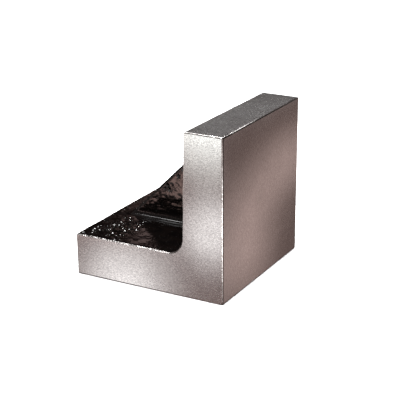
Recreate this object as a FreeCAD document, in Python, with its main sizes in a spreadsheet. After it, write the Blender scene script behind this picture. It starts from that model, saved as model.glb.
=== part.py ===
"""Webbed angle plate: a ground cast-iron L with one central web, in one piece.

Millimetres, +Z up. The base rests on Z = 0 and the box is centred on X = 0 and Y = 0. The upright's
outer face looks along +X, the toe of the base along -X, and the two ends along -Y and +Y.
"""

import FreeCAD, Part
import math
import os

import Sketcher

# Driving dimensions in millimetres, drafts in degrees.
SIZES = (
    ("plate_length", 76.2, "base, from its toe to the upright's outer face"),
    ("plate_height", 76.2, "upright, from the resting face to its top edge"),
    ("plate_width", 76.2, "between the two ground ends"),
    ("base_thickness", 19.9, "base, even from heel to toe"),
    ("upright_thickness", 18.9, "upright at its top edge, where it is thinnest"),
    ("upright_draft", 1.5, "lean of the upright's inner face"),
    ("corner_radius", 7.0, "cast blend between base and upright"),
    ("web_thickness", 7.5, "web where it stands on the base, where it is thickest"),
    ("web_draft", 1.5, "lean of each side of the web"),
    ("web_toe_setback", 8.0, "from the toe to the web's foot on the base"),
    ("web_top_setback", 7.0, "from the top edge to the web's foot on the upright"),
    ("web_edge_round", 1.2, "along both sides of the web's free edge"),
    ("web_fillet", 2.5, "cast blend all round the web's foot"),
    ("ground_chamfer", 0.5, "break on every edge of the ground faces"),
)

IN_PLANE = 1e-4  # mm, how near a ground plane an edge lies to count as in it
ORIGIN = (-1, 1)  # the sketch's own origin, as a constraint names it
WEB_ZONE = 0.25  # share of the width to each side of the middle that holds all of the web
CLIMB = 0.2  # least share of an edge's direction along X and along Z for it to climb the web


def make_sheet(doc):
    """The spreadsheet that drives the model, one row for each size."""
    sheet = doc.addObject("Spreadsheet::Sheet", "Sizes")
    for row, (alias, value, meaning) in enumerate(SIZES, start=1):
        sheet.set(f"A{row}", alias)
        sheet.set(f"B{row}", str(value))
        sheet.set(f"C{row}", meaning)
        sheet.setAlias(f"B{row}", alias)
    doc.recompute()
    return sheet


def origin_plane(body, role):
    """The body's own origin plane that has this role."""
    return next(plane for plane in body.Origin.OriginFeatures if plane.Role == role)


def sketch_midway(body, name):
    """A new sketch on the plane halfway between the two ends."""
    sketch = body.newObject("Sketcher::SketchObject", name)
    sketch.AttachmentSupport = [(origin_plane(body, "XZ_Plane"), "")]
    sketch.MapMode = "FlatFace"
    return sketch


def add_line(sketch, start, end):
    """A straight line between two (x, z) places."""
    return sketch.addGeometry(
        Part.LineSegment(FreeCAD.Vector(*start, 0), FreeCAD.Vector(*end, 0))
    )


def bind(sketch, name, kind, places, formula):
    """A named constraint whose value follows the sheet."""
    value = FreeCAD.Units.Quantity(sketch.evalExpression(formula)).Value
    index = sketch.addConstraint(Sketcher.Constraint(kind, *places, value))
    sketch.renameConstraint(index, name)
    sketch.setExpression(f"Constraints.{name}", formula)


def join(sketch, first, second):
    """The end of one line is the start of the next."""
    sketch.addConstraint(Sketcher.Constraint("Coincident", first, 2, second, 1))


def draw_profile(body, sheet):
    """The L seen from its end: flat outside, the inner faces meeting in a round cast corner."""
    toe_x = -sheet.plate_length / 2
    heel_x = sheet.plate_length / 2
    inner_x = heel_x - sheet.upright_thickness
    shelf_z = sheet.base_thickness
    radius = sheet.corner_radius
    sketch = sketch_midway(body, "EndProfile")
    bottom = add_line(sketch, (toe_x, 0), (heel_x, 0))
    outer = add_line(sketch, (heel_x, 0), (heel_x, sheet.plate_height))
    top = add_line(sketch, (heel_x, sheet.plate_height), (inner_x, sheet.plate_height))
    inner = add_line(sketch, (inner_x, sheet.plate_height), (inner_x, shelf_z + radius))
    shelf = add_line(sketch, (inner_x - radius, shelf_z), (toe_x, shelf_z))
    toe = add_line(sketch, (toe_x, shelf_z), (toe_x, 0))
    middle = FreeCAD.Vector(inner_x - radius, shelf_z + radius, 0)
    circle = Part.Circle(middle, FreeCAD.Vector(0, 0, 1), radius)
    corner = sketch.addGeometry(Part.ArcOfCircle(circle, -math.pi / 2, 0))

    join(sketch, bottom, outer)
    join(sketch, outer, top)
    join(sketch, top, inner)
    join(sketch, shelf, toe)
    join(sketch, toe, bottom)
    sketch.addConstraint(Sketcher.Constraint("Tangent", inner, 2, corner, 2))
    sketch.addConstraint(Sketcher.Constraint("Tangent", corner, 1, shelf, 1))
    for line in (bottom, top, shelf):
        sketch.addConstraint(Sketcher.Constraint("Horizontal", line))
    for line in (outer, toe):
        sketch.addConstraint(Sketcher.Constraint("Vertical", line))
    sketch.addConstraint(Sketcher.Constraint("Symmetric", bottom, 1, bottom, 2, *ORIGIN))

    bind(sketch, "Length", "DistanceX", (bottom, 1, bottom, 2), "Sizes.plate_length")
    bind(sketch, "Height", "DistanceY", (outer, 1, outer, 2), "Sizes.plate_height")
    bind(sketch, "Base", "DistanceY", (toe, 2, toe, 1), "Sizes.base_thickness")
    bind(sketch, "Upright", "DistanceX", (top, 2, top, 1), "Sizes.upright_thickness")
    bind(sketch, "Corner", "Radius", (corner,), "Sizes.corner_radius")
    bind(sketch, "Lean", "Angle", (inner,), "-90 - Sizes.upright_draft")
    return sketch


def draw_web(body, sheet):
    """The web's outline: its free edge between its two feet, and roots inside base and upright."""
    sketch = sketch_midway(body, "WebProfile")
    toe_x = sheet.web_toe_setback - sheet.plate_length / 2
    inner_x = sheet.plate_length / 2 - sheet.upright_thickness
    root_x = inner_x + sheet.upright_thickness / 2
    root_z = sheet.base_thickness / 2
    top_z = sheet.plate_height - sheet.web_top_setback
    toe_root = add_line(sketch, (toe_x, sheet.base_thickness), (toe_x, root_z))
    base_root = add_line(sketch, (toe_x, root_z), (root_x, root_z))
    upright_root = add_line(sketch, (root_x, root_z), (root_x, top_z))
    top_root = add_line(sketch, (root_x, top_z), (inner_x, top_z))
    free_edge = add_line(sketch, (inner_x, top_z), (toe_x, sheet.base_thickness))

    join(sketch, toe_root, base_root)
    join(sketch, base_root, upright_root)
    join(sketch, upright_root, top_root)
    join(sketch, top_root, free_edge)
    join(sketch, free_edge, toe_root)
    for line in (toe_root, upright_root):
        sketch.addConstraint(Sketcher.Constraint("Vertical", line))
    for line in (base_root, top_root):
        sketch.addConstraint(Sketcher.Constraint("Horizontal", line))

    root = (*ORIGIN, base_root, 2)
    bind(sketch, "RootX", "DistanceX", root, "(Sizes.plate_length - Sizes.upright_thickness) / 2")
    bind(sketch, "RootZ", "DistanceY", root, "Sizes.base_thickness / 2")
    toe_foot = (toe_root, 1, *ORIGIN)
    bind(sketch, "ToeX", "DistanceX", toe_foot, "Sizes.plate_length / 2 - Sizes.web_toe_setback")
    bind(sketch, "ToeZ", "DistanceY", (*ORIGIN, toe_root, 1), "Sizes.base_thickness")
    top_foot = (*ORIGIN, top_root, 2)
    lean = "Sizes.web_top_setback * tan(Sizes.upright_draft * 1 deg)"
    inner_face = f"Sizes.plate_length / 2 - Sizes.upright_thickness - {lean}"
    bind(sketch, "TopX", "DistanceX", top_foot, inner_face)
    bind(sketch, "TopZ", "DistanceY", top_foot, "Sizes.plate_height - Sizes.web_top_setback")
    return sketch


def pad_profile(body, sketch):
    """The L, padded evenly to both sides of its sketch."""
    pad = body.newObject("PartDesign::Pad", "Legs")
    pad.Profile = sketch
    pad.SideType = "Symmetric"
    pad.setExpression("Length", "Sizes.plate_width")


def web_side_plane(body):
    """The plane of the web's near side. It stands on the base's top and leans in by the draft."""
    plane = body.newObject("PartDesign::Plane", "WebSide")
    plane.AttachmentSupport = [(origin_plane(body, "XZ_Plane"), "")]
    plane.MapMode = "FlatFace"
    plane.setExpression("AttachmentOffset.Base.y", "Sizes.base_thickness")
    plane.setExpression("AttachmentOffset.Base.z", "Sizes.web_thickness / 2")
    plane.setExpression("AttachmentOffset.Rotation.Roll", "-Sizes.web_draft")
    return plane


def pad_web(body, sketch):
    """Half the web, padded from the middle out to its drafted side, and its mirror image."""
    half = body.newObject("PartDesign::Pad", "WebNearHalf")
    half.Profile = sketch
    half.Type = "UpToFace"
    half.UpToFace = (web_side_plane(body), [""])
    web = body.newObject("PartDesign::Mirrored", "Web")
    web.Originals = [half]
    web.MirrorPlane = (origin_plane(body, "XZ_Plane"), [""])
    body.Tip = web


def on_web(part_of_shape, sheet):
    """Whether a face or an edge lies wholly in the middle of the width, where only the web is."""
    box = part_of_shape.BoundBox
    return max(-box.YMin, box.YMax) < sheet.plate_width * WEB_ZONE


def foot_edges(shape, sheet):
    """The names of the web's outline on base, corner and upright: edges of just one web face."""
    web = [face for face in shape.Faces if on_web(face, sheet)]
    names = []
    for number, edge in enumerate(shape.Edges, start=1):
        beside = [face for face in web if any(edge.isSame(other) for other in face.Edges)]
        if len(beside) == 1:
            names.append(f"Edge{number}")
    return names


def free_edges(shape, sheet):
    """The names of the two straight edges that climb the web, one on each side."""
    names = []
    for number, edge in enumerate(shape.Edges, start=1):
        if isinstance(edge.Curve, Part.Line) and on_web(edge, sheet):
            direction = edge.Curve.Direction
            if min(abs(direction.x), abs(direction.z)) > CLIMB:
                names.append(f"Edge{number}")
    return names


def ground_edges(shape):
    """The names of edges that lie wholly in one of the six ground planes of the plate's box."""
    box = shape.BoundBox
    names = []
    for number, edge in enumerate(shape.Edges, start=1):
        own = edge.BoundBox
        spans = (
            (own.XMin, own.XMax, box.XMin, box.XMax),
            (own.YMin, own.YMax, box.YMin, box.YMax),
            (own.ZMin, own.ZMax, box.ZMin, box.ZMax),
        )
        in_plane = [
            max(abs(low - plane), abs(high - plane)) < IN_PLANE
            for low, high, *planes in spans
            for plane in planes
        ]
        if any(in_plane):
            names.append(f"Edge{number}")
    return names


def dress(body, kind, name, edges, property_name, formula):
    """A fillet or chamfer on these edges of the body as it stands."""
    base = body.Tip
    feature = body.newObject(f"PartDesign::{kind}", name)
    feature.Base = (base, edges)
    feature.setExpression(property_name, formula)
    body.Document.recompute()


def make_plate(doc, sheet):
    """The whole casting: legs, web, cast blends, then the broken edges of its ground faces."""
    body = doc.addObject("PartDesign::Body", "AnglePlate")
    body.Label = "angle_plate"
    pad_profile(body, draw_profile(body, sheet))
    pad_web(body, draw_web(body, sheet))
    doc.recompute()
    foot = foot_edges(body.Tip.Shape, sheet)
    dress(body, "Fillet", "WebFoot", foot, "Radius", "Sizes.web_fillet")
    climbing = free_edges(body.Tip.Shape, sheet)
    dress(body, "Fillet", "WebEdge", climbing, "Radius", "Sizes.web_edge_round")
    ground = ground_edges(body.Tip.Shape)
    dress(body, "Chamfer", "GroundEdges", ground, "Size", "Sizes.ground_chamfer")
    return body


def check(doc, body):
    """Stops before anything is written if a feature failed or the casting isn't one solid."""
    failed = [o.Name for o in doc.Objects if {"Invalid", "Error"} & set(o.State)]
    if failed:
        raise RuntimeError(f"failed: {', '.join(failed)}")
    shape = body.Shape
    if shape.isNull() or not shape.isValid() or len(shape.Solids) != 1:
        raise RuntimeError(f"{body.Label} is not one valid solid")


def main():
    doc = FreeCAD.newDocument("AnglePlate")
    sheet = make_sheet(doc)
    body = make_plate(doc, sheet)
    check(doc, body)
    os.makedirs("parts", exist_ok=True)
    body.Shape.exportStep(f"parts/{body.Label}.step")
    print(f"{body.Label}: {body.Shape.Volume:.0f} mm3, {len(body.Shape.Faces)} faces")


main()
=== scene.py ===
"""Looks of a small webbed angle plate: a ground grey-iron L with a black enamelled cast inside."""

import math

import bmesh
import bpy
from mathutils import Matrix, Vector, noise


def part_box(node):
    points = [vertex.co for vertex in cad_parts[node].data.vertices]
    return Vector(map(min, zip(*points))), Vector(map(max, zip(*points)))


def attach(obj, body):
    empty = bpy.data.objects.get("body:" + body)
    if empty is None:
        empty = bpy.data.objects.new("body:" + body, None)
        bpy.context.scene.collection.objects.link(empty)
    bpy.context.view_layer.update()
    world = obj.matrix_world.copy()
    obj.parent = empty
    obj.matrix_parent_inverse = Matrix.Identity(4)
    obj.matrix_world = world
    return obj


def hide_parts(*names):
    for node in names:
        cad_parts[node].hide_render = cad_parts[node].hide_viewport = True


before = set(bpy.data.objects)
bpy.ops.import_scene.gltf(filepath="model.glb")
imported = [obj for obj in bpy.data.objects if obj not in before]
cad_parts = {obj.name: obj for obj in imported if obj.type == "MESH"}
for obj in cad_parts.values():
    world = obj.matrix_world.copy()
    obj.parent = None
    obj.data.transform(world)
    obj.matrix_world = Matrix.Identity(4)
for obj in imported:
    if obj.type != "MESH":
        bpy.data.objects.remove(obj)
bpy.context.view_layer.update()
low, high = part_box("angle_plate")

MM = 0.001
X, Y, Z = Vector((1, 0, 0)), Vector((0, 1, 0)), Vector((0, 0, 1))

# The casting's own sizes, as the pattern maker would read them.
BASE = 19.9 * MM  # base, from the resting face to the cast skin
UPRIGHT = 18.9 * MM  # upright, at its top edge
LEAN = math.radians(1.5)  # draft of the upright's inner face and of the web's sides
CORNER = 7.0 * MM  # cast round between base and upright
WEB = 7.5 * MM  # web where it stands on the base
WEB_TOE = 8.0 * MM  # from the toe to the web's foot
WEB_TOP = 7.0 * MM  # from the top edge to the web's foot
FOOT = 2.5 * MM  # cast blend round the web's foot
WEB_ROUND = 1.2 * MM  # along the web's free edge
BREAK = 0.5 * MM  # chamfer between the ground faces and the cast skin
FILED_EDGE = 0.65 * MM  # rounded chamfer between two ground faces
STOCK = 2.0 * MM  # grinding stock that the raw casting has on every outer face
SKIN = 0.42 * MM  # width of a facet of the cast skin
HAIR = 0.001 * MM  # as good as nothing

shelf = low.z + BASE
inner_top = high.x - UPRIGHT
inner_shelf = inner_top - (high.z - shelf) * math.tan(LEAN)


# ---------------------------------------------------------------- small helpers


def make_alone(piece):
    """Only this piece is selected and active."""
    bpy.ops.object.select_all(action="DESELECT")
    piece.select_set(True)
    bpy.context.view_layer.objects.active = piece


def box_piece(name, corner, far_corner):
    """A plain block between two corners, its place in its mesh."""
    bpy.ops.object.select_all(action="DESELECT")
    middle, span = (corner + far_corner) / 2, far_corner - corner
    bpy.ops.mesh.primitive_cube_add(size=1, location=middle, scale=span)
    piece = bpy.context.object
    piece.name = piece.data.name = name
    bpy.ops.object.transform_apply(location=True, rotation=True, scale=True)
    return piece


def select_edges(piece, wanted):
    """In edit mode, selects just the edges for which wanted(edge) is true, and counts them."""
    bpy.ops.mesh.select_all(action="DESELECT")
    bpy.ops.mesh.select_mode(type="EDGE")
    mesh = bmesh.from_edit_mesh(piece.data)
    mesh.normal_update()
    count = 0
    for edge in mesh.edges:
        if wanted(edge):
            edge.select_set(True)
            count += 1
    bmesh.update_edit_mesh(piece.data)
    return count


def select_faces(piece, wanted):
    """In edit mode, selects just the faces for which wanted(face) is true, and counts them."""
    bpy.ops.mesh.select_all(action="DESELECT")
    bpy.ops.mesh.select_mode(type="FACE")
    mesh = bmesh.from_edit_mesh(piece.data)
    mesh.normal_update()
    count = 0
    for face in mesh.faces:
        if wanted(face):
            face.select_set(True)
            count += 1
    bmesh.update_edit_mesh(piece.data)
    return count


def saw(place, outward, fill=True):
    """A saw cut through the whole edited mesh. What lies outward of it goes."""
    bpy.ops.mesh.select_all(action="SELECT")
    bpy.ops.mesh.bisect(
        plane_co=place, plane_no=outward, clear_outer=True, use_fill=fill, threshold=HAIR
    )


def scribe(place, outward):
    """A cut line across the selected faces that takes nothing away."""
    bpy.ops.mesh.bisect(plane_co=place, plane_no=outward, threshold=HAIR)


# ---------------------------------------------------------------- the raw casting


def cast_legs():
    """The L: a block with its notch sawn out, and the cast round in the notch's corner."""
    corner = low - Vector((STOCK,) * 3)
    far_corner = high + Vector((STOCK,) * 3)
    legs = box_piece("casting", corner, Vector((far_corner.x, far_corner.y, shelf)))
    bpy.ops.object.mode_set(mode="EDIT")
    bpy.ops.mesh.select_all(action="SELECT")
    scribe(Vector((inner_shelf, 0, 0)), X)
    select_faces(legs, lambda f: f.normal.z > 0.9 and f.calc_center_median().x > inner_shelf)
    bpy.ops.mesh.extrude_region_move(
        TRANSFORM_OT_translate={"value": (0, 0, far_corner.z - shelf)}
    )
    lean = (far_corner.z - shelf) * math.tan(LEAN)

    def is_top_inner(edge):
        a, b = (v.co for v in edge.verts)
        return min(a.z, b.z) > far_corner.z - MM and max(a.x, b.x) < inner_shelf + MM

    select_edges(legs, is_top_inner)
    bpy.ops.transform.translate(value=(lean, 0, 0))

    def is_corner(edge):
        a, b = (v.co for v in edge.verts)
        at_corner = max(abs(a.x - inner_shelf), abs(b.x - inner_shelf)) < 0.1 * MM
        at_shelf = max(abs(a.z - shelf), abs(b.z - shelf)) < 0.1 * MM
        return at_corner and at_shelf

    select_edges(legs, is_corner)
    bpy.ops.mesh.bevel(offset=CORNER, segments=14, profile=0.5, clamp_overlap=False)
    bpy.ops.object.mode_set(mode="OBJECT")
    return legs


def cast_web():
    """The web: a slab sawn along its free edge and along both drafted sides."""
    toe = low.x + WEB_TOE
    top = high.z - WEB_TOP
    foot_x = inner_shelf + (top - shelf) * math.tan(LEAN)
    root = Vector((inner_top + UPRIGHT / 2, WEB, shelf - BASE / 2))
    web = box_piece("web", Vector((toe, -WEB, root.z)), Vector((root.x, WEB, top)))
    bpy.ops.object.mode_set(mode="EDIT")
    free = Vector((shelf - top, 0, foot_x - toe)).normalized()
    saw(Vector((toe, 0, shelf)), free)
    for side in (-1, 1):
        lean = Vector((0, side * math.cos(LEAN), math.sin(LEAN)))
        saw(Vector((0, side * WEB / 2, shelf)), lean)

    def climbs(edge):
        along = (edge.verts[1].co - edge.verts[0].co).normalized()
        return min(abs(along.x), abs(along.z)) > 0.3

    select_edges(web, climbs)
    bpy.ops.mesh.bevel(offset=WEB_ROUND, segments=4, profile=0.5, clamp_overlap=False)
    bpy.ops.object.mode_set(mode="OBJECT")
    return web


def unite(legs, web):
    """Legs and web in one shell, with the cast blend all round the web's foot."""
    make_alone(legs)
    join = legs.modifiers.new("join", "BOOLEAN")
    join.operation, join.solver, join.object = "UNION", "EXACT", web
    bpy.ops.object.modifier_apply(modifier=join.name)
    bpy.data.objects.remove(web)
    bpy.ops.object.mode_set(mode="EDIT")
    bpy.ops.mesh.select_all(action="SELECT")
    bpy.ops.mesh.remove_doubles(threshold=0.01 * MM)

    def in_valley(edge):
        if len(edge.link_faces) != 2 or edge.is_convex:
            return False
        return edge.calc_face_angle(0) > math.radians(20)

    select_edges(legs, in_valley)
    bpy.ops.mesh.bevel(offset=FOOT, segments=5, profile=0.5, clamp_overlap=False, loop_slide=False)
    bpy.ops.object.mode_set(mode="OBJECT")
    return legs


legs = cast_legs()
web = cast_web()
casting = unite(legs, web)


# ---------------------------------------------------------------- the sand-cast skin


def add_texture(name, kind, size, **settings):
    """A procedural relief whose grains are this large, in metres."""
    relief = bpy.data.textures.new(name, kind)
    relief.noise_scale = size
    for key, value in settings.items():
        setattr(relief, key, value)
    return relief


def press(piece, relief, depth, group="", stretch=None):
    """Pushes the skin in and out by a relief, up to depth, where the named group lets it. The
    relief may be drawn out along each axis by a stretch."""
    bpy.ops.object.select_all(action="DESELECT")
    bpy.ops.object.empty_add()
    ruler = bpy.context.object
    ruler.scale = stretch or (1, 1, 1)
    bpy.context.view_layer.update()
    make_alone(piece)
    push = piece.modifiers.new(relief.name, "DISPLACE")
    push.texture, push.strength, push.mid_level = relief, depth, 0.5
    push.texture_coords, push.texture_coords_object = "OBJECT", ruler
    push.vertex_group = group
    bpy.ops.object.modifier_apply(modifier=push.name)
    bpy.data.objects.remove(ruler)


def mark_group(piece, name, share):
    """A vertex group whose weight at each place on the piece is share(place)."""
    group = piece.vertex_groups.new(name=name)
    for vertex in piece.data.vertices:
        weight = share(vertex.co)
        if weight > 0:
            group.add([vertex.index], min(weight, 1.0), "REPLACE")
    return group.name


def ramp(value, start, end):
    """0 before start, 1 past end, and even between."""
    return min(max((value - start) / (end - start), 0.0), 1.0)


# Heights over the base where the runs on the web begin, are full, start to fade and end.
RUNS = (2 * MM, 4 * MM, 8 * MM, 13 * MM)
# How far the enamel fills the sand's marks: on the web, give or take, on the base where it has
# flowed out, and how much less in its thin spots.
WEB_COVER, WEB_COVER_VARIES, BASE_COVER, THIN_SPOT = 0.86, 0.25, 0.9, 0.35
# From the corner back to where the enamel on the base starts to be deep, and to where it is.
FLOW_START, FLOW_FULL = 38 * MM, 30 * MM
FLAT_GRAIN = 0.12  # share of bare sand from which a facet keeps the flat of its grain


def low_on_web(place):
    """How strongly a place is where enamel has run down the web and gathered in ripples."""
    if abs(place.y) > WEB / 2 + MM:
        return 0.0
    height = place.z - shelf
    begin, full, fade, end = RUNS
    return min(ramp(height, begin, full), ramp(height, end, fade))


def foot_blend(place):
    """How far a place is in the blend along the foot of the web, where the enamel fills all."""
    out, up = abs(place.y) - WEB / 2, place.z - shelf
    from_centre = math.hypot(out - FOOT, up - FOOT)
    return ramp(from_centre, FOOT + 1.5 * MM, FOOT + 0.3 * MM)


def deep_enamel(place):
    """How far the enamel has flowed out and filled the sand's marks. It lies deep along the foot
    of the web, over most of the web and on the base towards the corner, and thin near the toe."""
    out, up = abs(place.y) - WEB / 2, place.z - shelf
    foot = foot_blend(place)
    if out < MM and up > FOOT:
        return max(foot, WEB_COVER + WEB_COVER_VARIES * noise.noise(place / (4 * MM)))
    wander = 5 * MM * noise.noise(place / (7 * MM))
    flow = ramp(place.x + wander, inner_shelf - FLOW_START, inner_shelf - FLOW_FULL)
    spot = ramp(noise.noise(place / (3 * MM)), 0.1, 0.3)
    return max(foot, (BASE_COVER - THIN_SPOT * spot) * flow)


def thin_enamel(place):
    """The rest, where the skin keeps all of its relief."""
    return 1 - deep_enamel(place)


def bare_sand(place):
    """How far single grains stand through the enamel: all over where it is thinnest, else in
    patches."""
    patch = noise.noise(place / (5 * MM))
    return thin_enamel(place) * ramp(patch, -0.25, 0.05)


# Pits in the web's sides: place along the base, side, height, depth and reach, in millimetres.
PITS = (
    (-9.4, -1, 37.0, 0.5, 1.1), (-8.2, -1, 35.2, 0.4, 0.9), (-10.6, -1, 35.6, 0.35, 0.9),
    (-3.5, -1, 42.5, 0.35, 0.9), (-15.5, -1, 30.5, 0.3, 0.8), (-1.0, -1, 46.0, 0.3, 0.8),
    (-6.0, 1, 36.0, 0.7, 1.1), (2.5, 1, 44.0, 0.5, 0.9), (-14.0, 1, 29.0, 0.5, 0.9),
)


def dent(piece, place, push, reach):
    """Pulls the skin's nearest point by push, and what is within reach of it along with it."""
    make_alone(piece)
    nearest = min(piece.data.vertices, key=lambda v: (v.co - place).length_squared).index
    bpy.ops.object.mode_set(mode="EDIT")
    bpy.ops.mesh.select_all(action="DESELECT")
    bpy.ops.mesh.select_mode(type="VERT")
    mesh = bmesh.from_edit_mesh(piece.data)
    mesh.verts.ensure_lookup_table()
    mesh.verts[nearest].select_set(True)
    bmesh.update_edit_mesh(piece.data)
    bpy.ops.transform.translate(
        value=push,
        use_proportional_edit=True,
        proportional_edit_falloff="SPHERE",
        proportional_size=reach,
    )
    bpy.ops.object.mode_set(mode="OBJECT")


def sand_skin(piece):
    """Even small facets all over the raw casting, then the marks that a sand mould leaves."""
    make_alone(piece)
    remesh = piece.modifiers.new("facets", "REMESH")
    remesh.mode, remesh.voxel_size, remesh.use_smooth_shade = "VOXEL", SKIN, True
    bpy.ops.object.modifier_apply(modifier=remesh.name)
    smooth = piece.modifiers.new("settle", "SMOOTH")
    smooth.factor, smooth.iterations = 0.5, 3
    bpy.ops.object.modifier_apply(modifier=smooth.name)
    thin = mark_group(piece, "thin_enamel", thin_enamel)
    bare = mark_group(piece, "bare_sand", bare_sand)
    open_skin = mark_group(piece, "open_skin", lambda place: 1 - foot_blend(place))
    press(piece, add_texture("swell", "CLOUDS", 9 * MM, noise_depth=1), 0.3 * MM)
    press(piece, add_texture("orange_peel", "CLOUDS", 2.2 * MM, noise_depth=2), 0.35 * MM, thin)
    press(piece, add_texture("fine_peel", "CLOUDS", 1.6 * MM, noise_depth=1), 0.08 * MM, open_skin)
    press(piece, add_texture("sand_grain", "CLOUDS", 0.5 * MM, noise_depth=1), 0.5 * MM, bare)
    runs = mark_group(piece, "runs", low_on_web)
    ripples = add_texture("ripples", "CLOUDS", 1.9 * MM, noise_depth=1)
    press(piece, ripples, 0.35 * MM, runs, stretch=(5, 3, 1))
    for x, side, z, depth, reach in PITS:
        wall = Vector((x * MM, side * WEB / 2, z * MM))
        dent(piece, wall, (0, -side * depth * MM, 0), reach * MM)


sand_skin(casting)


# ---------------------------------------------------------------- grinding


def is_ground(face):
    """Whether a face lies in one of the six ground planes."""
    return any(
        abs(face.normal[axis]) > 0.999
        and all(abs(v.co[axis] - end[axis]) < 10 * HAIR for v in face.verts)
        for axis in range(3)
        for end in (low, high)
    )


def grind(piece):
    """The six outer planes. The break on the edges next to the cast skin is made as each is cut."""
    make_alone(piece)
    bpy.ops.object.mode_set(mode="EDIT")
    for place, outward in ((high, X), (low, -Z)):
        saw(place, outward)
    for place, outward in ((low, -Y), (high, Y), (high, Z), (low, -X)):
        saw(place - outward * BREAK, outward, fill=False)
        select_edges(piece, lambda e: e.is_boundary)
        bpy.ops.mesh.extrude_edges_move(TRANSFORM_OT_translate={"value": outward * BREAK})
        select_edges(piece, lambda e: e.is_boundary and skin_side(e, outward))
        if abs(outward.y) > 0.5:
            bpy.ops.transform.shrink_fatten(value=-BREAK)
        else:
            inward = X if outward.z > 0.5 else -Z
            bpy.ops.transform.translate(value=inward * BREAK)
        select_edges(piece, lambda e: e.is_boundary)
        bpy.ops.mesh.edge_face_add()
        select_faces(piece, is_ground)
        bpy.ops.mesh.dissolve_limited(angle_limit=math.radians(0.5))
    bpy.ops.mesh.select_all(action="SELECT")
    bpy.ops.mesh.normals_make_consistent(inside=False)
    bpy.ops.object.mode_set(mode="OBJECT")


def skin_side(edge, outward):
    """Whether a cut edge borders the cast skin, and not the stock of another outer face."""
    middle = (edge.verts[0].co + edge.verts[1].co) / 2
    if outward.z > 0.5:
        return middle.x < high.x - UPRIGHT + MM
    if outward.x < -0.5:
        return middle.z > shelf - MM
    outer = middle.x > high.x - MM or middle.z < low.z + MM
    outer = outer or middle.z > high.z + MM or middle.x < low.x - MM
    return not outer


grind(casting)


def break_edges(piece):
    """The straight edges where two ground faces meet, each broken by hand to two narrow facets."""
    bpy.ops.object.mode_set(mode="EDIT")
    select_edges(piece, lambda e: all(is_ground(f) for f in e.link_faces))
    bpy.ops.mesh.bevel(offset=FILED_EDGE, segments=2, profile=0.5, clamp_overlap=False)
    bpy.ops.object.mode_set(mode="OBJECT")
    bpy.ops.object.shade_smooth_by_angle(angle=math.radians(32))
    bpy.ops.object.mode_set(mode="EDIT")
    select_edges(piece, lambda e: any(is_ground(f) for f in e.link_faces))
    bpy.ops.mesh.mark_sharp()
    bpy.ops.object.mode_set(mode="OBJECT")


break_edges(casting)


def on_skin(middle):
    """Whether a face with this middle is cast skin: inside every break of the ground planes."""
    inner = middle.x < high.x - UPRIGHT + MM and middle.z > shelf - MM
    return inner and all(
        abs(middle[axis] - end[axis]) > BREAK - HAIR
        for axis, end in ((0, low), (1, low), (1, high), (2, high))
    )


def sand_shows(face):
    """Whether a facet keeps the flat of a sand grain."""
    middle = face.calc_center_median()
    return on_skin(middle) and bare_sand(middle) > FLAT_GRAIN


def facet_skin(piece):
    """Leaves the facets flat where the sand shows, so that each one glints by itself."""
    make_alone(piece)
    bpy.ops.object.mode_set(mode="EDIT")
    select_faces(piece, sand_shows)
    bpy.ops.mesh.faces_shade_flat()
    bpy.ops.object.mode_set(mode="OBJECT")


facet_skin(casting)


# ---------------------------------------------------------------- finishes


def add(tree, kind, inputs=None, **settings):
    """A node of this kind, with its settings. Its inputs are linked from sockets, or set."""
    node = tree.nodes.new(kind)
    for key, value in settings.items():
        setattr(node, key, value)
    for key, value in (inputs or {}).items():
        socket = next((s for s in node.inputs if s.enabled and s.name == key), None)
        socket = socket or node.inputs[key]
        if isinstance(value, bpy.types.NodeSocket):
            tree.links.new(value, socket)
        else:
            socket.default_value = value
    return node


def linear(code):
    """A colour written as sRGB hex, in the linear values that a shader takes."""
    shares = [int(code[i : i + 2], 16) / 255 for i in (1, 3, 5)]
    return (*(s / 12.92 if s <= 0.04045 else ((s + 0.055) / 1.055) ** 2.4 for s in shares), 1.0)


def new_material(name):
    material = bpy.data.materials.new(name)
    material.use_nodes = True
    material.node_tree.nodes.clear()
    return material, material.node_tree


def ground_cast_iron(name, lay, dark, light):
    """Surface-ground grey iron: a neutral grey metal that mirrors its surroundings softly, with
    the fine dark and bright speckle that graphite flakes and wheel grit leave on it, drawn out a
    little along the wheel's lay."""
    material, tree = new_material(name)
    place = add(tree, "ShaderNodeTexCoord").outputs["Object"]
    along = add(tree, "ShaderNodeMapping", {"Vector": place, "Scale": lay}).outputs[0]
    flake = add(tree, "ShaderNodeTexNoise", {
        "Vector": along, "Scale": 1.0, "Detail": 2.0, "Roughness": 0.7,
    })
    cloud = add(tree, "ShaderNodeTexNoise", {
        "Vector": place, "Scale": 1 / (14 * MM), "Detail": 2.0, "Roughness": 0.5,
    })
    tone = add(tree, "ShaderNodeValToRGB", {"Fac": flake.outputs["Fac"]})
    stops = zip(tone.color_ramp.elements, (0.36, 0.64), (dark, light))
    for element, position, code in stops:
        element.position, element.color = position, linear(code)
    roughness = add(tree, "ShaderNodeMapRange", {
        "Value": cloud.outputs["Fac"],
        "From Min": 0.3, "From Max": 0.7, "To Min": 0.23, "To Max": 0.28,
    })
    bump = add(tree, "ShaderNodeBump", {
        "Height": flake.outputs["Fac"], "Strength": 0.25, "Distance": 0.02 * MM,
    })
    shader = add(tree, "ShaderNodeBsdfPrincipled", {
        "Base Color": tone.outputs["Color"], "Metallic": 1.0,
        "Roughness": roughness.outputs["Result"], "Normal": bump.outputs["Normal"],
    })
    add(tree, "ShaderNodeOutputMaterial", {"Surface": shader.outputs[0]})
    return material


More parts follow.
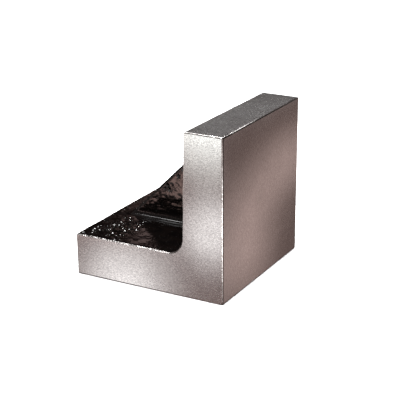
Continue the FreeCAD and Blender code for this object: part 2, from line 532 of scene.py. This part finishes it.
def black_enamel_on_sand_casting():
    """Glossy black enamel brushed over a sand-cast skin: deep black, a little brown where it is
    thin, with sharp small highlights and the sand's grain standing through it."""
    material, tree = new_material("black_enamel_on_sand_casting")
    place = add(tree, "ShaderNodeTexCoord").outputs["Object"]
    # Moulding sand is 0.2 to 0.4 mm across, drawn 0.7 mm so that it shows.
    grain = add(tree, "ShaderNodeTexNoise", {
        "Vector": place, "Scale": 1 / (0.7 * MM), "Detail": 2.0, "Roughness": 0.6,
    })
    # Brush strokes leave the coat thick and thin over 4 to 6 mm.
    coat = add(tree, "ShaderNodeTexNoise", {
        "Vector": place, "Scale": 1 / (5 * MM), "Detail": 3.0, "Roughness": 0.6,
    })
    black = add(tree, "ShaderNodeValToRGB", {"Fac": coat.outputs["Fac"]})
    stops = zip(black.color_ramp.elements, (0.4, 0.7), ("#030202", "#080504"))
    for element, position, code in stops:
        element.position, element.color = position, linear(code)
    bump = add(tree, "ShaderNodeBump", {
        "Height": grain.outputs["Fac"], "Strength": 0.06, "Distance": 0.12 * MM,
    })
    shader = add(tree, "ShaderNodeBsdfPrincipled", {
        "Base Color": black.outputs["Color"], "Roughness": 0.11, "IOR": 1.5,
        "Normal": bump.outputs["Normal"],
    })
    add(tree, "ShaderNodeOutputMaterial", {"Surface": shader.outputs[0]})
    return material


def filed_cast_iron():
    """The edges that a file has broken: a little brighter than the ground faces, and uneven, so
    that a highlight along them comes in dashes."""
    material, tree = new_material("filed_cast_iron")
    place = add(tree, "ShaderNodeTexCoord").outputs["Object"]
    # File strokes are 0.3 to 0.5 mm apart, drawn 1.5 mm so that they show.
    stroke = add(tree, "ShaderNodeTexNoise", {
        "Vector": place, "Scale": 1 / (1.5 * MM), "Detail": 1.0, "Roughness": 0.5,
    })
    tone = add(tree, "ShaderNodeValToRGB", {"Fac": stroke.outputs["Fac"]})
    stops = zip(tone.color_ramp.elements, (0.4, 0.6), ("#B4AFAD", "#DEDBD9"))
    for element, position, code in stops:
        element.position, element.color = position, linear(code)
    bump = add(tree, "ShaderNodeBump", {
        "Height": stroke.outputs["Fac"], "Strength": 0.4, "Distance": 0.14 * MM,
    })
    shader = add(tree, "ShaderNodeBsdfPrincipled", {
        "Base Color": tone.outputs["Color"], "Metallic": 1.0, "Roughness": 0.22,
        "Normal": bump.outputs["Normal"],
    })
    add(tree, "ShaderNodeOutputMaterial", {"Surface": shader.outputs[0]})
    return material


def painted_shade_edge_iron():
    """The facet of a broken edge next to the outer face, given painted shade: its colour is
    darkened to stand in for the dark surroundings that this facet mirrors. It reads as a thin dark
    line round that face."""
    material, tree = new_material("painted_shade_edge_iron")
    place = add(tree, "ShaderNodeTexCoord").outputs["Object"]
    # The painted shade is uneven, in patches of 1 to 3 mm.
    patch = add(tree, "ShaderNodeTexNoise", {
        "Vector": place, "Scale": 1 / (2 * MM), "Detail": 2.0, "Roughness": 0.6,
    })
    tone = add(tree, "ShaderNodeValToRGB", {"Fac": patch.outputs["Fac"]})
    stops = zip(tone.color_ramp.elements, (0.4, 0.65), ("#1C1918", "#38332F"))
    for element, position, code in stops:
        element.position, element.color = position, linear(code)
    shader = add(tree, "ShaderNodeBsdfPrincipled", {
        "Base Color": tone.outputs["Color"], "Metallic": 1.0, "Roughness": 0.35,
    })
    add(tree, "ShaderNodeOutputMaterial", {"Surface": shader.outputs[0]})
    return material


# Flakes are 0.1 to 0.3 mm long. So that they show, they are drawn 0.4 mm high, 0.8 mm wide and
# 1.2 mm deep on the ends, the toe and the top, and 0.5 mm across and 1.5 mm high on the outer face
# and the resting face.
ENDS_LAY = (1 / (0.8 * MM), 1 / (1.2 * MM), 1 / (0.4 * MM))
FACES_LAY = (1 / (0.5 * MM), 1 / (0.5 * MM), 1 / (1.5 * MM))
finishes = (
    ground_cast_iron("ground_cast_iron_ends", ENDS_LAY, "#AEADAD", "#D8D8D7"),
    ground_cast_iron("ground_cast_iron_faces", FACES_LAY, "#BBB8B8", "#CFCDCD"),
    black_enamel_on_sand_casting(),
    filed_cast_iron(),
    painted_shade_edge_iron(),
)
for finish in finishes:
    casting.data.materials.append(finish)
ENDS, FACES, ENAMEL, FILED, PAINTED_SHADE_EDGE = range(len(finishes))


def finish_of(face):
    """Which finish a face of the casting has."""
    if on_skin(face.center):
        return ENAMEL
    if max(abs(part) for part in face.normal) < 0.999:
        # Edge facets turned towards the outer face get painted shade: a darkened colour for the
        # dark surroundings they mirror.
        return PAINTED_SHADE_EDGE if face.normal.x > 0.85 else FILED
    return FACES if face.normal.x > 0.9 or face.normal.z < -0.9 else ENDS


for face in casting.data.polygons:
    face.material_index = finish_of(face)


# ---------------------------------------------------------------- stage, light and camera


def flat_card(name, middle, across, up):
    """A flat card for the stage, from its middle and the half-sides that span it."""
    bpy.ops.object.select_all(action="DESELECT")
    bpy.ops.mesh.primitive_plane_add(size=2)
    card = bpy.context.object
    card.name = card.data.name = name
    facing = Matrix((across, up, across.cross(up).normalized())).transposed().to_4x4()
    card.matrix_world = Matrix.Translation(middle) @ facing
    bpy.ops.object.transform_apply(location=True, rotation=True, scale=True)
    return card


def stage_floor():
    """A plain pale floor. The soft metal mirrors the cards in its place."""
    floor = flat_card("floor", Vector((0, 0, low.z)), X * 5, Y * 5)
    material, tree = new_material("pale_floor")
    shader = add(tree, "ShaderNodeBsdfPrincipled", {
        "Base Color": linear("#F8F8F8"), "Roughness": 0.9, "Specular IOR Level": 0.0,
    })
    add(tree, "ShaderNodeOutputMaterial", {"Surface": shader.outputs[0]})
    floor.data.materials.append(material)
    floor.visible_glossy = False


def reflector(name, middle, across, up, level, tint, pools):
    """A soft card that only the shiny surfaces see. It glows at level in its tint, with a few soft
    pools of more light, each given as its middle, its half-widths, its turn, its strength and its
    colour."""
    card = flat_card(name, middle, across, up)
    material, tree = new_material(name)
    place = add(tree, "ShaderNodeTexCoord").outputs["Object"]
    total = tuple(level * part for part in linear(tint)[:3])
    for centre, widths, turn, strength, colour in pools:
        spot = add(tree, "ShaderNodeMapping", {
            "Vector": place, "Location": centre, "Rotation": turn, "Scale": widths,
        }, vector_type="TEXTURE")
        glow = add(tree, "ShaderNodeTexGradient", {
            "Vector": spot.outputs[0],
        }, gradient_type="SPHERICAL")
        soft = add(tree, "ShaderNodeMapRange", {
            "Value": glow.outputs["Fac"], "To Max": strength,
        }, interpolation_type="SMOOTHSTEP")
        total = add(tree, "ShaderNodeVectorMath", {
            0: soft.outputs["Result"], 1: linear(colour)[:3], 2: total,
        }, operation="MULTIPLY_ADD").outputs[0]
    glow_colour = total if pools else (*total, 1.0)
    light = add(tree, "ShaderNodeEmission", {"Color": glow_colour, "Strength": 1.0})
    add(tree, "ShaderNodeOutputMaterial", {"Surface": light.outputs[0]})
    card.data.materials.append(material)
    card.visible_camera = card.visible_diffuse = card.visible_shadow = False
    card.visible_transmission = card.visible_volume_scatter = False


LENS = 103.25  # mm, on a sensor 36 mm wide
EYE = (0.25046, -0.44019, 0.21213)
AZIMUTH, DROP, ROLL = 29.05, 19.73, -0.36  # degrees


def add_camera():
    """The camera, in front of the near end and to the right of it, looking down a little."""
    camera = bpy.data.objects.new("camera", bpy.data.cameras.new("camera"))
    bpy.context.scene.collection.objects.link(camera)
    camera.data.sensor_width, camera.data.lens = 36, LENS
    camera.data.clip_start, camera.data.clip_end = 0.01, 20
    camera.location = EYE
    azimuth, drop, roll = (math.radians(angle) for angle in (AZIMUTH, DROP, ROLL))
    turn = Matrix.Rotation(azimuth, 3, "Z") @ Matrix.Rotation(math.pi / 2 - drop, 3, "X")
    camera.rotation_euler = (turn @ Matrix.Rotation(roll, 3, "Z")).to_euler()
    bpy.context.scene.camera = camera


def area_light(name, place, target, size, power, shows):
    """A square soft box in white. Where it doesn't show, the shiny surfaces don't mirror it."""
    light = bpy.data.lights.new(name, "AREA")
    light.shape, light.size, light.energy = "SQUARE", size, power
    holder = bpy.data.objects.new(name, light)
    bpy.context.scene.collection.objects.link(holder)
    holder.location = place
    holder.rotation_euler = (Vector(target) - Vector(place)).to_track_quat("-Z", "Y").to_euler()
    holder.visible_glossy = shows


def set_world():
    """A soft dome: palest and a little warm just below the horizon, dark and warm far below it, dim
    grey from the horizon up, and less dim right overhead."""
    world = bpy.data.worlds.new("studio")
    bpy.context.scene.world = world
    world.use_nodes = True
    tree = world.node_tree
    tree.nodes.clear()
    direction = add(tree, "ShaderNodeTexCoord").outputs["Generated"]
    height = add(tree, "ShaderNodeSeparateXYZ", {"Vector": direction}).outputs["Z"]
    share = add(tree, "ShaderNodeMapRange", {
        "Value": height, "From Min": -1.0, "From Max": 1.0,
    }).outputs["Result"]
    dome = add(tree, "ShaderNodeValToRGB", {"Fac": share})
    stops = (
        (0.0, "#3A3432"), (0.22, "#3A3432"), (0.32, "#B0A5A1"), (0.49, "#B0A5A1"),
        (0.52, "#5C5856"), (0.90, "#5C5856"), (0.97, "#8A8A8A"),
    )
    elements = dome.color_ramp.elements
    while len(elements) < len(stops):
        elements.new(1.0)
    for element, (position, code) in zip(elements, stops):
        element.position, element.color = position, linear(code)
    light = add(tree, "ShaderNodeBackground", {"Color": dome.outputs["Color"], "Strength": 1.5})
    add(tree, "ShaderNodeOutputWorld", {"Surface": light.outputs[0]})


stage_floor()
add_camera()
set_world()

NEAR_MIDDLE = (0, 0, 0.03)
# Soft boxes: name, place, aim, size, watts, and whether they show in the shiny surfaces. The last
# three are small: the first of them draws the light lines on the edges and along the web's foot,
# and the other two make single facets of the skin glint.
for soft_box in (
    ("key", (-0.67, -0.93, 0.98), NEAR_MIDDLE, 0.5, 16, False),
    ("top", (0.1, 0.1, 1.5), (0, 0, 0), 1.6, 60, False),
    ("front_edges", (-0.55, -0.40, 1.0), NEAR_MIDDLE, 0.12, 0.6, True),
    ("low_sparkle", (-0.40, 0.89, 1.18), NEAR_MIDDLE, 0.13, 3.4, True),
    ("high_sparkle", (-0.32, 0.58, 1.37), NEAR_MIDDLE, 0.13, 3.4, True),
):
    area_light(*soft_box)

WHITE, COOL, WARM, BROWN = "#FFFFFF", "#FAFFFC", "#FFDCD6", "#FFD5CA"
PALE, TAN, SIDE_POOL = "#FFF4F2", "#FFD8CE", "#FFE3DA"
FRONT = low.y - 60 * MM  # plane of the cards in front of the near end
FAR_FRONT = low.y - 265 * MM  # plane of the cards that the web's side mirrors, past the near ones
SIDE = high.x + 35 * MM  # plane of the card beside the upright's outer face
BACK = high.y + 60 * MM  # plane of the cards behind the far end
THROUGH = 10  # half-width of a pool across its card: so deep that it doesn't fade that way


def pool(plane, x, z, half_x, half_z, strength, colour):
    """A soft pool of light on a card in front or behind, its sizes in millimetres."""
    middle = Vector((x * MM, plane, z * MM))
    return middle, (half_x * MM, THROUGH, half_z * MM), (0, 0, 0), strength, colour


def side_pool(y, z, half_y, half_z, tilt, strength):
    """A soft pool of light on the card at the side, in the same way, tilted by degrees."""
    middle = Vector((SIDE, y * MM, z * MM))
    turn = (math.radians(tilt), 0, 0)
    return middle, (THROUGH, half_y * MM, half_z * MM), turn, strength, SIDE_POOL


FRONT_POOLS = (
    pool(FRONT, -52, -36, 41, 47, 1.75, WHITE),
    pool(FRONT, 1, 7, 26, 27, 1.9, WHITE),
    pool(FRONT, -2, 67, 46, 43, 2.5, COOL),
    pool(FRONT, 56, 8, 16, 80, 6.0, WHITE),
)
WEB_POOLS = (pool(FAR_FRONT, -174, -70, 120, 75, 4.4, BROWN),)
SIDE_POOLS = (
    side_pool(96, 22, 76, 28, 8, 0.6),
    side_pool(48, -10, 52, 44, 35, 0.7),
)
BACK_POOLS = (pool(BACK, 24, 178, 24, 38, 4.0, WHITE),)
DARK_POOLS = (
    pool(BACK, -88, 75, 18, 14, 0.7, WARM),
    pool(BACK, -72, 46, 44, 22, 0.4, BROWN),
)
# Cards in front and behind: name, plane, middle along x and z, half-sides, glow, tint and pools.
for name, plane, x, z, half_x, half_z, level, tint, pools in (
    ("low_front_card", FRONT, -50, -48, 160, 52, 0.28, WARM, FRONT_POOLS),
    ("high_front_card", FRONT, 38, 40, 72, 44, 0.28, WARM, FRONT_POOLS),
    ("web_card", FAR_FRONT, -190, -60, 130, 80, 0.4, BROWN, WEB_POOLS),
    ("web_glints", FAR_FRONT, -250, 38, 60, 9, 6.0, WARM, ()),
    ("back_card", BACK, -12, 148, 47, 60, 0.15, PALE, BACK_POOLS),
    ("dark_card", BACK + MM, -95, 75, 130, 83, 0.015, BROWN, DARK_POOLS),
):
    middle = Vector((x * MM, plane, z * MM))
    reflector(name, middle, X * half_x * MM, Z * half_z * MM, level, tint, pools)

near_edge = Vector((22 * MM, low.y + 4 * MM, high.z + 10 * MM))  # just over the near top edge
reflector("edge_card", near_edge, X * 12 * MM, Y * 2.5 * MM, 2.5, WHITE, ())
beside = Vector((SIDE, 119 * MM, -14 * MM))
reflector("side_card", beside, Y * 111 * MM, Z * 76 * MM, 0.15, TAN, SIDE_POOLS)
bpy.context.scene.view_settings.view_transform = "Standard"

piece = casting
piece.name = piece.data.name = "angle_plate_casting"
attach(piece, "root")
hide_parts("angle_plate")
